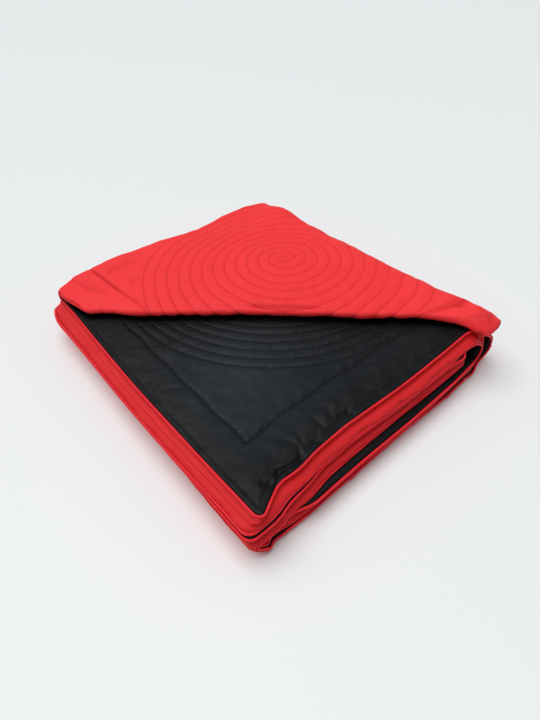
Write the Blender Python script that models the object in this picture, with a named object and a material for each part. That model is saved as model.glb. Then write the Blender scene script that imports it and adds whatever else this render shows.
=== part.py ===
"""Quilted bedspread, red on one face and black on the other, folded into a stack of eight layers.

The flat quilt has two coordinates. s runs along its length, t across its width from the middle crease.
It is folded in half along t = 0 with the black face inside. The doubled quilt then runs back and forth:
over the top, round the right side, along the floor, round the left side, back under the top, round the
right side again and back to the left. Last, the front corner of the top layer is turned under.
A third number e is the height over the seam between the two faces, so one function places every point.
"""
import math

import bmesh
import bpy
import numpy as np
from mathutils import Vector
from mathutils.geometry import delaunay_2d_cdt

# Driving sizes, in metres
stack_width = 0.650
stack_depth = 0.712
red_thickness = 0.0085
black_thickness = 0.0025
seam_gap = 0.0006
black_air = 0.0018
red_air = 0.0016
piping_radius = 0.0017
piping_gap = 0.0008
turn_radius = 0.0048
turn_air = 0.0014
corner_radius = 0.014
groove_depth = 0.0022
border_side = 0.072
border_front = 0.093
colour_red = (0.72, 0.035, 0.045, 1.0)
colour_black = (0.022, 0.024, 0.028, 1.0)

# Sizes that follow
half_air = black_air / 2
seam_offset = half_air + black_thickness + seam_gap / 2
half_thickness = seam_offset + seam_gap / 2 + red_thickness
fold_pitch = 2 * half_thickness + red_air
level = [half_thickness + k * fold_pitch for k in range(4)]
outer_bend = (level[3] - level[0]) / 2
inner_bend = fold_pitch / 2
corner_lift = 2 * turn_radius + red_thickness + seam_gap / 2 + half_air + turn_air - seam_offset
bend_right = stack_width - outer_bend - half_thickness - 0.8 * corner_lift
bend_left = half_thickness + inner_bend
run_lengths = [
    bend_right, math.pi * outer_bend,
    bend_right - bend_left, math.pi * inner_bend,
    bend_right - bend_left, math.pi * inner_bend,
    bend_right,
]
stations = np.concatenate([[0.0], np.cumsum(run_lengths)])
quilt_length = float(stations[-1])
crease_top = stack_depth - red_thickness - seam_gap / 2
quilt_half = crease_top + (math.pi / 2 - 1) * seam_offset
front_row = crease_top - (quilt_half - (math.pi / 2 - 1) * (seam_offset + corner_lift / 2))

# The line along which the front corner is turned under, from the left side to the front, seen from above
turn_start = np.array([0.0, 0.600])
turn_end = np.array([0.622, front_row])
turn_along = (turn_end - turn_start) / np.linalg.norm(turn_end - turn_start)
turn_across = np.array([turn_along[1], -turn_along[0]])
turn_length = math.pi * turn_radius
# Where the hidden tip begins and ends its gathering, and how far past the turned edge it is gathered fully
gather_from = 0.44
gather_to = stations[1] - 0.006
gather_over = 0.20

# The quilted spirals of the top face and of the face under it, seen from above.
# Each is a little tighter towards the back, by the share in lean.
spiral_red = {"centre": np.array([0.462, 0.425]), "pitch": 0.0255, "turns": 12.5, "lean": 0.14}
spiral_black = {"centre": np.array([0.452, 0.471]), "pitch": 0.0232, "turns": 16, "lean": 0.0}
lean_angle = math.radians(48)

# How far each layer's front edge stands out, at places along it from the left side to the right.
# upper is the half with the top layer, lower the half inside it.
layer_runs = ("top", "floor", "middle", "inner")
front_at = (0.0, 0.03, 0.06, 0.10, 0.15, 0.22, 0.35, 0.50, 0.545, 0.58)
front_step = {
    "upper": {
        "top": (0.004, 0.004, 0.004, 0.004, 0.004, 0.004, 0.004, 0.004, 0.004, 0.004),
        "inner": (0.044, 0.0435, 0.0335, 0.0295, 0.019, 0.0165, 0.021, 0.0235, 0.030, -0.015),
        "middle": (0.048, 0.046, 0.037, 0.039, 0.029, 0.0265, 0.0245, 0.0275, 0.027, -0.015),
        "floor": (0.040, 0.044, 0.045, 0.046, 0.044, 0.043, 0.040, 0.041, 0.038, 0.038),
    },
    "lower": {
        "top": (0.046, 0.0285, 0.0135, 0.0154, 0.0065, 0.0025, 0.0074, 0.0091, 0.0084, 0.0084),
        "inner": (0.0395, 0.0385, 0.0285, 0.025, 0.0175, 0.0155, 0.0205, 0.0224, 0.0205, 0.0205),
        "middle": (0.046, 0.045, 0.037, 0.0495, 0.047, 0.045, 0.0445, 0.041, 0.037, 0.035),
        "floor": (0.034, 0.037, 0.0415, 0.043, 0.041, 0.0395, 0.0405, 0.0355, 0.033, 0.033),
    },
}
front_drape = 0.049
# How far the left side stands out at each height, near the front, in the middle and near the back
left_at = (0.0, 0.0125, 0.037, 0.052, 0.066, 0.076, 0.082, 0.0885)
left_front = (0.014, 0.020, 0.029, 0.034, 0.026, 0.021, 0.016, 0.001)
left_middle = (0.005, 0.010, 0.020, 0.025, 0.028, 0.022, 0.017, 0.000)
left_back = (0.000, 0.004, 0.017, 0.023, 0.022, 0.012, 0.006, -0.008)
top_tuck = 0.004
# How strongly the lower layers round in towards the corner at the back of the left side
back_round = 3.3
# How far the right side stands out at each height, how much less it does near the front, and how far
# the back stands out at each place along it
right_reach = {0.0: -0.004, 0.018: -0.014, 0.034: -0.010, 0.052: 0.004, 0.094: 0.008, 0.110: 0.013}
right_tuck = {
    0.0: 0.022, 0.012: 0.027, 0.017: 0.012, 0.022: -0.004, 0.029: -0.020, 0.044: -0.008, 0.069: 0.024,
    0.098: 0.020, 0.115: 0.010,
}
back_reach = {0.0: -0.018, 0.05: 0.006, 0.18: 0.016, 0.28: 0.008, 0.40: -0.004, 0.52: -0.002, 0.66: 0.006}
# Open slits: height in the stack, width at the front corner, width at the right
slits = ((level[0], 0.003, 0.005), (level[1], 0.0, 0.006), (level[2], 0.004, 0.001))
corner_height = {"front": 0.93, "right": 1.05, "left": 0.90, "back": 0.94}
dome_height = 0.010


def ease(low, high, value):
    """0 below low, 1 above high, smooth between them."""
    u = np.clip((value - low) / (high - low), 0, 1)
    return u * u * (3 - 2 * u)


def bell(middle, reach, value):
    """1 at middle, falling smoothly to 0 at reach on both sides."""
    return 1 - ease(0, reach, np.abs(value - middle))


def doubled_path(s):
    """Middle line of the doubled quilt: x, z and the normal that points to the half with the top layer."""
    start = stations
    x, z = np.array(s), np.full_like(s, level[3])
    nx, nz = np.zeros_like(s), np.ones_like(s)
    right_low = level[0] + outer_bend
    runs = [
        # first station, kind, x of the centre or start, height of the centre or run, bend radius
        (1, "bend", bend_right, right_low, outer_bend),
        (2, "back", bend_right, level[0], 0),
        (3, "hook", bend_left, level[0] + inner_bend, inner_bend),
        (4, "forth", bend_left, level[1], 0),
        (5, "rise", bend_right, level[1] + inner_bend, inner_bend),
        (6, "back", bend_right, level[2], 0),
    ]
    for first, kind, middle, height, radius in runs:
        here = s >= start[first]
        along = s - start[first]
        angle = along / radius if radius else along
        if kind == "bend":
            values = middle + radius * np.sin(angle), height + radius * np.cos(angle), np.sin(angle), np.cos(angle)
        elif kind == "hook":
            values = middle - radius * np.sin(angle), height - radius * np.cos(angle), -np.sin(angle), -np.cos(angle)
        elif kind == "rise":
            values = middle + radius * np.sin(angle), height - radius * np.cos(angle), -np.sin(angle), np.cos(angle)
        elif kind == "forth":
            values = middle + along, np.full_like(s, height), np.zeros_like(s), np.ones_like(s)
        else:
            values = middle - along, np.full_like(s, height), np.zeros_like(s), -np.ones_like(s)
        x, z, nx, nz = (np.where(here, new, old) for new, old in zip(values, (x, z, nx, nz)))
    return x, z, nx, nz


def lift_at(s):
    """Room between the top layer and the one below it, which the turned-under corner fills."""
    return corner_lift * (1 - ease(stations[1] + 0.6 * run_lengths[1], stations[2], s))


def crease_sizes(s):
    """Middle, radius and straight start of the crease along the back, at s."""
    radius = seam_offset + lift_at(s) / 2
    return lift_at(s) / 2, radius, math.pi * radius / 2


def plan_to_flat(point):
    """Flat (s, t) of a point of the top layer that is given as seen from above."""
    _, radius, straight = crease_sizes(np.array(point[0]))
    return float(point[0]), float(straight + crease_top - radius - point[1])


def round_corners(s, t):
    """Draws the square corners of the flat quilt in to quarter circles."""
    inner = quilt_length / 2 - corner_radius
    a = np.maximum(np.abs(s - quilt_length / 2) - inner, 0)
    b = np.maximum(np.abs(t) - (quilt_half - corner_radius), 0)
    share = np.maximum(a, b) / np.maximum(np.hypot(a, b), 1e-9)
    share = np.where((a > 0) & (b > 0), share, 1.0)
    s = s - np.sign(s - quilt_length / 2) * a * (1 - share)
    t = t - np.sign(t) * b * (1 - share)
    return s, t


def place(s, t, e):
    """Where the quilt's point (s, t), at height e over its seam, lies in the folded stack."""
    s, t, e = (np.array(v, float) for v in np.broadcast_arrays(s, t, e))
    s, t = round_corners(s, t)
    middle, radius, straight = crease_sizes(s)
    reach = np.abs(t)
    angle = np.minimum(reach, straight) / radius
    y = crease_top - radius + (radius + e) * np.cos(angle) - np.maximum(reach - straight, 0)
    n = middle + np.sign(t) * (radius + e) * np.sin(angle)

    # the turned-under corner: half a turn round the line, then flat below the top layer
    past = (s - turn_start[0]) * turn_across[0] + (y - turn_start[1]) * turn_across[1]
    turned = (s < stations[2]) & (t > straight) & (past > 0)
    curl = np.clip(past / turn_radius, 0, math.pi)
    rolling = past < turn_length
    out = np.where(rolling, (turn_radius + e) * np.sin(curl), turn_length - past)
    drop = np.where(rolling, (turn_radius + e) * np.cos(curl) - turn_radius, -2 * turn_radius - e)
    s_new = s - (past - out) * turn_across[0]
    y_new = y - (past - out) * turn_across[1]
    # its hidden tip is gathered a little, so that it ends before the right side
    room = gather_to - gather_from
    gathered = np.where(s_new > gather_from, gather_from + room * np.tanh((s_new - gather_from) / room), s_new)
    s_new = s_new + (gathered - s_new) * ease(0.0, gather_over, past - turn_length)
    s2 = np.where(turned, s_new, s)
    y2 = np.where(turned, y_new, y)
    n2 = np.where(turned, seam_offset + lift_at(s2) + drop, n)

    x, z, nx, nz = doubled_path(s2)
    return settle(x + nx * n2, y2, z + nz * n2, s2, t)


def along_runs(s, values):
    """A layer's value at s: steady on each flat run, and easing from one to the next round a bend."""
    result = values[layer_runs[0]] + 0 * s
    for k in range(3):
        change = values[layer_runs[k + 1]] - values[layer_runs[k]]
        result = result + change * ease(stations[2 * k + 1] - 0.03, stations[2 * k + 2] + 0.03, s)
    return result


def step_at(s, t, x):
    """How far the front edge of the layer at (s, t) stands out at x, softened over 16 mm of x."""
    halves = []
    for half in ("upper", "lower"):
        values = {}
        for run, row in front_step[half].items():
            values[run] = (np.interp(x - 0.008, front_at, row) + np.interp(x + 0.008, front_at, row)) / 2
        halves.append(along_runs(s, values))
    return np.where(t > 0, *halves)


def settle(x, y, z, s, t):
    """The stack's unevenness: stepped edges, a pulled-out front corner, open slits and varying height."""
    near_front = 1 - ease(0.0, 0.24, y)
    near_left = 1 - ease(0.0, 0.20, x)
    near_back = ease(0.50, 0.70, y)
    near_right = ease(0.42, 0.60, x)

    step_y = step_at(s, t, x - np.interp(z, left_at, left_front) * near_left)
    round_bend = 1 - ease(stations[1], stations[1] + 0.75 * run_lengths[1], s)
    drape = np.where(t > 0, front_drape * ease(0.48, 0.59, x) * round_bend, 0)
    reach_y = np.interp(x, list(back_reach), list(back_reach.values()))
    new_y = y - (step_y + drape) * near_front + reach_y * near_back

    to_middle, to_back = ease(0.05, 0.17, new_y), ease(0.28, 0.60, new_y)
    shift_left = (
        np.interp(z, left_at, left_front) * (1 - to_middle)
        + np.interp(z, left_at, left_middle) * (to_middle - to_back)
        + np.interp(z, left_at, left_back) * to_back
        - top_tuck * ease(0.50, 0.66, new_y) * ease(level[2], level[3], z)
        - back_round * np.maximum(new_y - 0.62, 0) ** 2 * (1 - ease(0.076, 0.0885, z))
    )
    reach_x = np.interp(z, list(right_reach), list(right_reach.values()))
    tuck = np.interp(z, list(right_tuck), list(right_tuck.values())) * (1 - ease(-0.08, 0.07, new_y))
    new_x = x - shift_left * near_left + (reach_x - tuck) * near_right

    at_front = (1 - ease(0.0, 0.20, new_x)) * (1 - ease(-0.03, 0.18, new_y))
    at_right = ease(0.36, 0.60, new_x) * (1 - ease(-0.03, 0.18, new_y))
    z_open = sum(
        (front_gap * at_front + right_gap * at_right) * ease(height - half_air, height + half_air, z)
        for height, front_gap, right_gap in slits
    )
    u, v = np.clip(new_x / stack_width, 0, 1), np.clip(new_y / stack_depth, 0, 1)
    scale = (
        corner_height["front"] * (1 - u) * (1 - v) + corner_height["right"] * u * (1 - v)
        + corner_height["left"] * (1 - u) * v + corner_height["back"] * u * v
    )
    dome = dome_height * bell(0.5, 0.5, u) * bell(0.5, 0.5, v) * ease(0, level[3], z)
    return np.stack([new_x, new_y, z * scale + z_open + dome], -1)


def groove(distance):
    """Depth of a quilted line at a distance from it."""
    return groove_depth * np.exp(-((distance / 0.006) ** 2))


def spiral_distance(plan, spiral):
    """Distance from a point to the nearest turn of the spiral."""
    offset = plan - spiral["centre"]
    angle = np.arctan2(offset[..., 1], offset[..., 0])
    turn = np.hypot(offset[..., 0], offset[..., 1]) * (1 + spiral["lean"] * np.cos(angle - lean_angle))
    turn = turn / spiral["pitch"] - angle / (2 * math.pi)
    near = np.abs(turn - np.round(turn)) * spiral["pitch"]
    return np.where(turn < spiral["turns"] + 0.4, near, 1.0)


def quilted(s, t, spiral):
    """Depth of the quilting on the top two layers, with their spiral."""
    _, radius, straight = crease_sizes(s)
    plan = np.stack([s, crease_top - radius - (np.abs(t) - straight)], -1)
    frame = np.maximum(border_side - plan[..., 0], border_front - plan[..., 1])
    depth = np.maximum(groove(spiral_distance(plan, spiral)), groove(frame))
    return np.where((s < stations[1]) & (np.abs(t) > straight), depth, 0.0)


def edge_columns():
    """Stations along the quilt: close together in the bends, far apart on the flat runs."""
    flat_shares = {
        0: (0.0, 0.035, 0.1, 0.2, 0.34, 0.5, 0.66, 0.8, 0.92),
        2: (0.0, 0.2, 0.42, 0.64, 0.86),
        4: (0.0, 0.14, 0.36, 0.58, 0.8),
        6: (0.0, 0.2, 0.42, 0.64, 0.84, 0.96, 1.0),
    }
    bend_steps = {1: 8, 3: 7, 5: 6}
    shares = {**flat_shares, **{run: [k / n for k in range(n)] for run, n in bend_steps.items()}}
    columns = [float(stations[run]) + share * run_lengths[run] for run in range(7) for share in shares[run]]
    return columns[:-1] + [quilt_length]


def cross_rows(s):
    """Places across the quilt at station s: close together in the crease and at the front edge."""
    straight = float(crease_sizes(np.array(s))[2])
    crease = [0.5 * straight, straight]
    shares = (0.12, 0.28, 0.46, 0.62, 0.76, 0.88, 0.96, 1.0)
    inner = crease + [straight + share * (quilt_half - straight) for share in shares]
    if s >= stations[1]:
        return [-t for t in reversed(inner)] + [0.0] + inner
    turned_shares = shares[:6] + (0.92, 0.95, 0.975, 1.0)
    upper = crease + [straight + share * (quilt_half - straight) for share in turned_shares]
    return [-t for t in reversed(inner)] + [0.0] + upper


def turn_lines():
    """Lines of points along the turned edge, in flat coordinates, each from the left side to the front."""
    lines = []
    across = [k / 6 * turn_length for k in range(7)] + [turn_length + beyond for beyond in (0.014, 0.032, 0.055, 0.085)]
    for offset in across:
        origin = turn_start + offset * turn_across
        first = -origin[0] / turn_along[0]
        last = (front_row - origin[1]) / turn_along[1]
        shares = (0, 0.06, 0.14, 0.24, 0.36, 0.48, 0.6, 0.7, 0.78, 0.84, 0.89, 0.93, 0.965, 1.0)
        line = [plan_to_flat(origin + (first + share * (last - first)) * turn_along) for share in shares]
        line[0] = (0.0, line[0][1])
        line[-1] = (line[-1][0], quilt_half)
        lines.append(line)
    return lines


def spiral_lines(spiral, side, keep):
    """The spiral's turns and the crowns between them as lines of flat points, where keep says so."""
    lines = []
    for half_turn in range(2, int(2 * spiral["turns"]) + 1):
        steps = max(8, int(math.pi * half_turn * spiral["pitch"] / 0.034))
        line = []
        for k in range(steps + 1):
            angle = -math.pi + 2 * math.pi * k / steps
            radius = spiral["pitch"] * (half_turn / 2 + angle / (2 * math.pi))
            radius = radius / (1 + spiral["lean"] * math.cos(angle - lean_angle))
            plan = spiral["centre"] + radius * np.array([math.cos(angle), math.sin(angle)])
            if keep(plan):
                s, t = plan_to_flat(plan)
                line.append((s, side * t))
            else:
                lines.append(line)
                line = []
        lines.append(line)
    return [line for line in lines if len(line) > 1]


def frame_lines(side, keep):
    """The straight quilted lines beside the left and front edges."""
    left = [np.array([border_side, y]) for y in np.linspace(border_front, 0.66, 17)]
    front = [np.array([x, border_front]) for x in np.linspace(border_side, 0.56, 15)]
    lines = []
    for plans in (left, front):
        flats = [plan_to_flat(plan) for plan in plans if keep(plan)]
        lines.append([(s, side * t) for s, t in flats])
    return lines


def behind_turn(plan):
    """Whether a point of the top layer still lies in view behind the turned edge."""
    past = (plan - turn_start) @ turn_across
    inside = 0.03 < plan[0] < stations[1] - 0.015 and plan[1] < crease_top - 0.05
    return past < -0.010 and inside


def before_turn(plan):
    """Whether a point of the second layer lies in view in front of the turned edge."""
    past = (plan - turn_start) @ turn_across
    return past > -0.01 and plan[0] > 0.02 and plan[1] > 0.02


def flat_mesh(extra_lines):
    """Triangles over the whole flat quilt: its grid of points, the turned edge and the extra lines."""
    points, edges = [], []
    fixed = turn_lines() + extra_lines
    for line in fixed:
        first = len(points)
        points.extend(line)
        edges.extend((k, k + 1) for k in range(first, len(points) - 1))
    taken = np.array(points)

    columns = edge_columns()
    grid = {}
    for i, s in enumerate(columns):
        for j, t in enumerate(cross_rows(s)):
            on_rim = s in (0.0, quilt_length) or abs(t) == quilt_half
            if np.min(np.hypot(taken[:, 0] - s, taken[:, 1] - t)) > (0.008 if on_rim else 0.013):
                grid[i, j] = len(points)
                points.append((s, t))
    bends = [i for i, s in enumerate(columns) if any(stations[k] <= s <= stations[k + 1] for k in (1, 3, 5))]
    middle = len(cross_rows(0.0)) // 2
    for (i, j), index in grid.items():
        if i in bends and (i, j + 1) in grid:
            edges.append((index, grid[i, j + 1]))
        if abs(j - middle) <= 2 and (i + 1, j) in grid:
            edges.append((index, grid[i + 1, j]))
    for s in (0.0, quilt_length):
        for t in (-quilt_half, quilt_half):
            if min(math.hypot(p[0] - s, p[1] - t) for p in points) > 1e-6:
                points.append((s, t))
    flat, _, faces, _, _, _ = delaunay_2d_cdt([Vector(p) for p in points], edges, [], 0, 1e-5)
    return np.array([tuple(p) for p in flat]), [tuple(face) for face in faces]


def rim_order(flat):
    """Indices of the points on the quilt's rim, in order round it."""
    s, t = flat[:, 0], flat[:, 1]
    tiny = 1e-5
    sides = (
        (t < -quilt_half + tiny, s), (s > quilt_length - tiny, t), (t > quilt_half - tiny, -s), (s < tiny, -t),
    )
    order = []
    for on_side, along in sides:
        found = np.flatnonzero(on_side)
        order += [k for k in found[np.argsort(along[found])] if k not in order]
    return order


def add_object(name, vertices, faces, material, collection):
    """A closed mesh object with its faces turned outwards."""
    mesh = bpy.data.meshes.new(name)
    mesh.from_pydata([tuple(v) for v in vertices], [], faces)
    shape = bmesh.new()
    shape.from_mesh(mesh)
    bmesh.ops.recalc_face_normals(shape, faces=shape.faces)
    shape.to_mesh(mesh)
    shape.free()
    mesh.materials.append(material)
    mesh.shade_smooth()
    obj = bpy.data.objects.new(name, mesh)
    collection.objects.link(obj)
    return obj


def panel(name, outer, inner, outer_height, inner_height, material, collection):
    """A cloth panel: its quilted outer face, its plain face at the seam, and the rim between them."""
    outer_flat, outer_faces = outer
    inner_flat, inner_faces = inner
    outer_points = place(outer_flat[:, 0], outer_flat[:, 1], outer_height)
    inner_points = place(inner_flat[:, 0], inner_flat[:, 1], inner_height)
    shift = len(outer_points)
    faces = outer_faces + [tuple(shift + k for k in reversed(face)) for face in inner_faces]
    outer_rim, inner_rim = rim_order(outer_flat), rim_order(inner_flat)
    for k in range(len(outer_rim)):
        after = (k + 1) % len(outer_rim)
        a, b = outer_rim[k], outer_rim[after]
        c, d = shift + inner_rim[after], shift + inner_rim[k]
        faces += [(a, b, c), (a, c, d)]
    return add_object(name, np.concatenate([outer_points, inner_points]), faces, material, collection)


def piping(inner_flat, material, collection):
    """The cord sewn round the edge: a tube just outside the rim, level with the black panel."""
    rim = inner_flat[rim_order(inner_flat)]
    off = piping_radius + piping_gap
    s, t = rim[:, 0], rim[:, 1]
    s_out = s + np.where(s < 1e-5, -off, np.where(s > quilt_length - 1e-5, off, 0))
    t_out = t + np.where(np.abs(t) > quilt_half - 1e-5, np.sign(t) * off, 0)
    height = -(seam_gap + black_thickness) / 2
    at_rim, outside = place(s, t, height), place(s_out, t_out, height)
    along = np.roll(at_rim, -1, axis=0) - np.roll(at_rim, 1, axis=0)
    along = along / np.linalg.norm(along, axis=1)[:, None]
    away = outside - at_rim
    away = away - np.sum(away * along, axis=1)[:, None] * along
    route = at_rim + away * off / np.linalg.norm(away, axis=1)[:, None]
    curve = bpy.data.curves.new("edge_piping", "CURVE")
    curve.dimensions = "3D"
    curve.bevel_depth = piping_radius
    curve.bevel_resolution = 1
    curve.resolution_u = 1
    spline = curve.splines.new("POLY")
    spline.points.add(len(route) - 1)
    for point, place_at in zip(spline.points, route):
        point.co = (*place_at, 1.0)
    spline.use_cyclic_u = True
    curve.materials.append(material)
    obj = bpy.data.objects.new("edge_piping", curve)
    collection.objects.link(obj)
    return obj


def cloth_material(name, colour, roughness):
    material = bpy.data.materials.new(name)
    material.use_nodes = True
    shader = material.node_tree.nodes["Principled BSDF"]
    shader.inputs["Base Color"].default_value = colour
    shader.inputs["Roughness"].default_value = roughness
    return material


def centre_on_floor(objects):
    """Moves everything so that the stack's box stands on the floor with its middle over the origin."""
    bpy.context.view_layer.update()
    corners = np.array([obj.matrix_world @ Vector(c) for obj in objects for c in obj.bound_box])
    low, high = corners.min(0), corners.max(0)
    for obj in objects:
        obj.location -= Vector(((low[0] + high[0]) / 2, (low[1] + high[1]) / 2, low[2]))


def build():
    for obj in list(bpy.data.objects):
        bpy.data.objects.remove(obj)
    collection = bpy.data.collections.new("bedspread")
    bpy.context.scene.collection.children.link(collection)
    red = cloth_material("red cloth", colour_red, 0.55)
    black = cloth_material("black cloth", colour_black, 0.6)

    plain = flat_mesh([])
    red_lines = spiral_lines(spiral_red, 1, behind_turn)
    red_outer = flat_mesh(red_lines)
    black_lines = spiral_lines(spiral_black, -1, before_turn) + frame_lines(-1, before_turn)
    black_outer = flat_mesh(black_lines)

    red_top = seam_gap / 2 + red_thickness
    flat = red_outer[0]
    red_height = red_top - np.where(flat[:, 1] > 0, quilted(flat[:, 0], flat[:, 1], spiral_red), 0)
    flat = black_outer[0]
    black_depth = 0.45 * quilted(flat[:, 0], flat[:, 1], spiral_black)
    black_height = -seam_gap / 2 - black_thickness + np.where(flat[:, 1] < 0, black_depth, 0)
    objects = [
        panel("red_face", red_outer, plain, red_height, seam_gap / 2, red, collection),
        panel("black_reverse", black_outer, plain, black_height, -seam_gap / 2, black, collection),
        piping(plain[0], red, collection),
    ]
    centre_on_floor(objects)


build()
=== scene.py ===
import math

import bpy
import numpy as np
from mathutils import Matrix, Vector


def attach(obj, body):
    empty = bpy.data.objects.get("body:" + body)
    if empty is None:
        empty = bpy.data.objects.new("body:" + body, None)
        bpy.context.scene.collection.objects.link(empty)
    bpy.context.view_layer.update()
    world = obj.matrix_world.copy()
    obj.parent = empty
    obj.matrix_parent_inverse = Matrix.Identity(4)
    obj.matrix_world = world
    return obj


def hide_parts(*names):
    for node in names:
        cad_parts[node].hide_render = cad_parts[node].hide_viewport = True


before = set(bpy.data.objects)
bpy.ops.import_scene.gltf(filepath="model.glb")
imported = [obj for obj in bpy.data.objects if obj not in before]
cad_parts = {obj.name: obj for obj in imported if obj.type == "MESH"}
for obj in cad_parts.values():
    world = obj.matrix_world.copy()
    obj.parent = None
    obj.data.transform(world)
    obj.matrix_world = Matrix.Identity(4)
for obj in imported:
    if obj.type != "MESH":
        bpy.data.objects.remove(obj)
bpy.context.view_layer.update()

print("frame loaded")

# A quilted bedspread, red on one face and black on the other, folded into a stack of eight layers.
# The flat quilt has two coordinates: s along its length, t across its width from the middle crease.
# A third, e, is the height over the seam between the faces. place() folds any point of it.
quilt = {
    "stackWidth": 0.650, "stackDepth": 0.712, "middle": (0.312062, 0.337284),
    "redThickness": 0.0085, "blackThickness": 0.0025, "seamGap": 0.0006,
    "blackAir": 0.0018, "redAir": 0.0016, "cornerRadius": 0.014,
    "turnRadius": 0.0048, "turnAir": 0.0014, "turnStart": 0.600, "turnEnd": 0.622,
    "liftShare": 0.8, "liftFrom": 0.6,
    "gatherFrom": 0.44, "gatherShort": 0.006, "gatherOver": 0.20,
}
halfAir = quilt["blackAir"] / 2
seamOffset = halfAir + quilt["blackThickness"] + quilt["seamGap"] / 2
halfThickness = seamOffset + quilt["seamGap"] / 2 + quilt["redThickness"]
foldPitch = 2 * halfThickness + quilt["redAir"]
level = [halfThickness + k * foldPitch for k in range(4)]
outerBend = (level[3] - level[0]) / 2
innerBend = foldPitch / 2
turnRadius = quilt["turnRadius"]
cornerLift = (2 * turnRadius + quilt["redThickness"] + quilt["seamGap"] / 2 + halfAir
              + quilt["turnAir"] - seamOffset)
bendRight = quilt["stackWidth"] - outerBend - halfThickness - quilt["liftShare"] * cornerLift
bendLeft = halfThickness + innerBend
runLengths = [bendRight, math.pi * outerBend, bendRight - bendLeft, math.pi * innerBend,
              bendRight - bendLeft, math.pi * innerBend, bendRight]
stations = np.concatenate([[0.0], np.cumsum(runLengths)])
quiltLength = float(stations[-1])
creaseTop = quilt["stackDepth"] - quilt["redThickness"] - quilt["seamGap"] / 2
quiltHalf = creaseTop + (math.pi / 2 - 1) * seamOffset
frontRow = creaseTop - (quiltHalf - (math.pi / 2 - 1) * (seamOffset + cornerLift / 2))
turnStart = np.array([0.0, quilt["turnStart"]])
turnEnd = np.array([quilt["turnEnd"], frontRow])
turnAlong = (turnEnd - turnStart) / np.linalg.norm(turnEnd - turnStart)
turnAcross = np.array([turnAlong[1], -turnAlong[0]])
turnLength = math.pi * turnRadius
redTop = quilt["seamGap"] / 2 + quilt["redThickness"]
blackTop = quilt["seamGap"] / 2 + quilt["blackThickness"]

# How the stack has settled: how far each layer's front edge stands out at frontAt, how far the left side
# goes in at leftAt, and the other sides at a place or a height. spans say where each of them eases in.
runNames = ("top", "floor", "middle", "inner")
settling = {
    "frontAt": (0.0, 0.03, 0.06, 0.10, 0.15, 0.22, 0.35, 0.50, 0.545, 0.58),
    "frontStep": {
        "upper": {"top": (0.004, 0.004, 0.004, 0.004, 0.004, 0.004, 0.004, 0.004, 0.004, 0.004),
                  "inner": (0.044, 0.0435, 0.0335, 0.0295, 0.019, 0.0165, 0.021, 0.0235, 0.030, -0.015),
                  "middle": (0.048, 0.046, 0.037, 0.039, 0.029, 0.0265, 0.0245, 0.0275, 0.027, -0.015),
                  "floor": (0.040, 0.044, 0.045, 0.046, 0.044, 0.043, 0.040, 0.041, 0.038, 0.038)},
        "lower": {"top": (0.046, 0.0285, 0.0135, 0.0154, 0.0065, 0.0025, 0.0074, 0.0091, 0.0084, 0.0084),
                  "inner": (0.0395, 0.0385, 0.0285, 0.025, 0.0175, 0.0155, 0.0205, 0.0224, 0.0205, 0.0205),
                  "middle": (0.046, 0.045, 0.037, 0.0495, 0.047, 0.045, 0.0445, 0.041, 0.037, 0.035),
                  "floor": (0.034, 0.037, 0.0415, 0.043, 0.041, 0.0395, 0.0405, 0.0355, 0.033, 0.033)}},
    "frontDrape": 0.049, "drapeEnd": 0.75, "topTuck": 0.004, "backRound": 3.3, "backRoundFrom": 0.62,
    "leftAt": (0.0, 0.0125, 0.037, 0.052, 0.066, 0.076, 0.082, 0.0885),
    "leftFront": (0.014, 0.020, 0.029, 0.034, 0.026, 0.021, 0.016, 0.001),
    "leftMiddle": (0.005, 0.010, 0.020, 0.025, 0.028, 0.022, 0.017, 0.000),
    "leftBack": (0.000, 0.004, 0.017, 0.023, 0.022, 0.012, 0.006, -0.008),
    "rightReach": {0.0: -0.004, 0.018: -0.014, 0.034: -0.010, 0.052: 0.004, 0.094: 0.008, 0.110: 0.013},
    "backReach": {0.0: -0.018, 0.05: 0.006, 0.18: 0.016, 0.28: 0.008, 0.40: -0.008, 0.50: 0.004, 0.66: 0.006},
    "rightTuck": {0.0: 0.022, 0.012: 0.027, 0.017: 0.012, 0.022: -0.004, 0.029: -0.020, 0.044: -0.008,
                  0.069: 0.024, 0.098: 0.020, 0.115: 0.010},
    "slits": ((level[0], 0.003, 0.005), (level[1], 0.0, 0.006), (level[2], 0.004, 0.001)),
    "cornerHeight": {"front": 0.93, "right": 1.05, "left": 0.90, "back": 0.94}, "dome": 0.010,
    "spans": {"front": (0.0, 0.24), "left": (0.0, 0.20), "right": (0.42, 0.60), "back": (0.50, 0.70),
              "drape": (0.48, 0.59), "leftMiddle": (0.05, 0.17), "leftBack": (0.28, 0.60),
              "topTuck": (0.50, 0.66), "rightTuck": (-0.08, 0.07), "backRoundUp": (0.076, 0.0885),
              "slitLeft": (0.0, 0.20), "slitRight": (0.36, 0.60), "slitFront": (-0.03, 0.18)},
}


def ease(low, high, value):
    # 0 below low, 1 above high, 3u^2 - 2u^3 between them
    u = np.clip((value - low) / (high - low), 0, 1)
    return u * u * (3 - 2 * u)


def bell(middle, reach, value):
    # 1 at middle, falling to 0 at reach on both sides
    return 1 - ease(0, reach, np.abs(value - middle))


def table(name, value):
    # straight lines between the rows of one of the settling tables
    return np.interp(value, list(settling[name]), list(settling[name].values()))


def leftTable(name, z):
    # straight lines between the left side's values, by height
    return np.interp(z, settling["leftAt"], settling[name])


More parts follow.
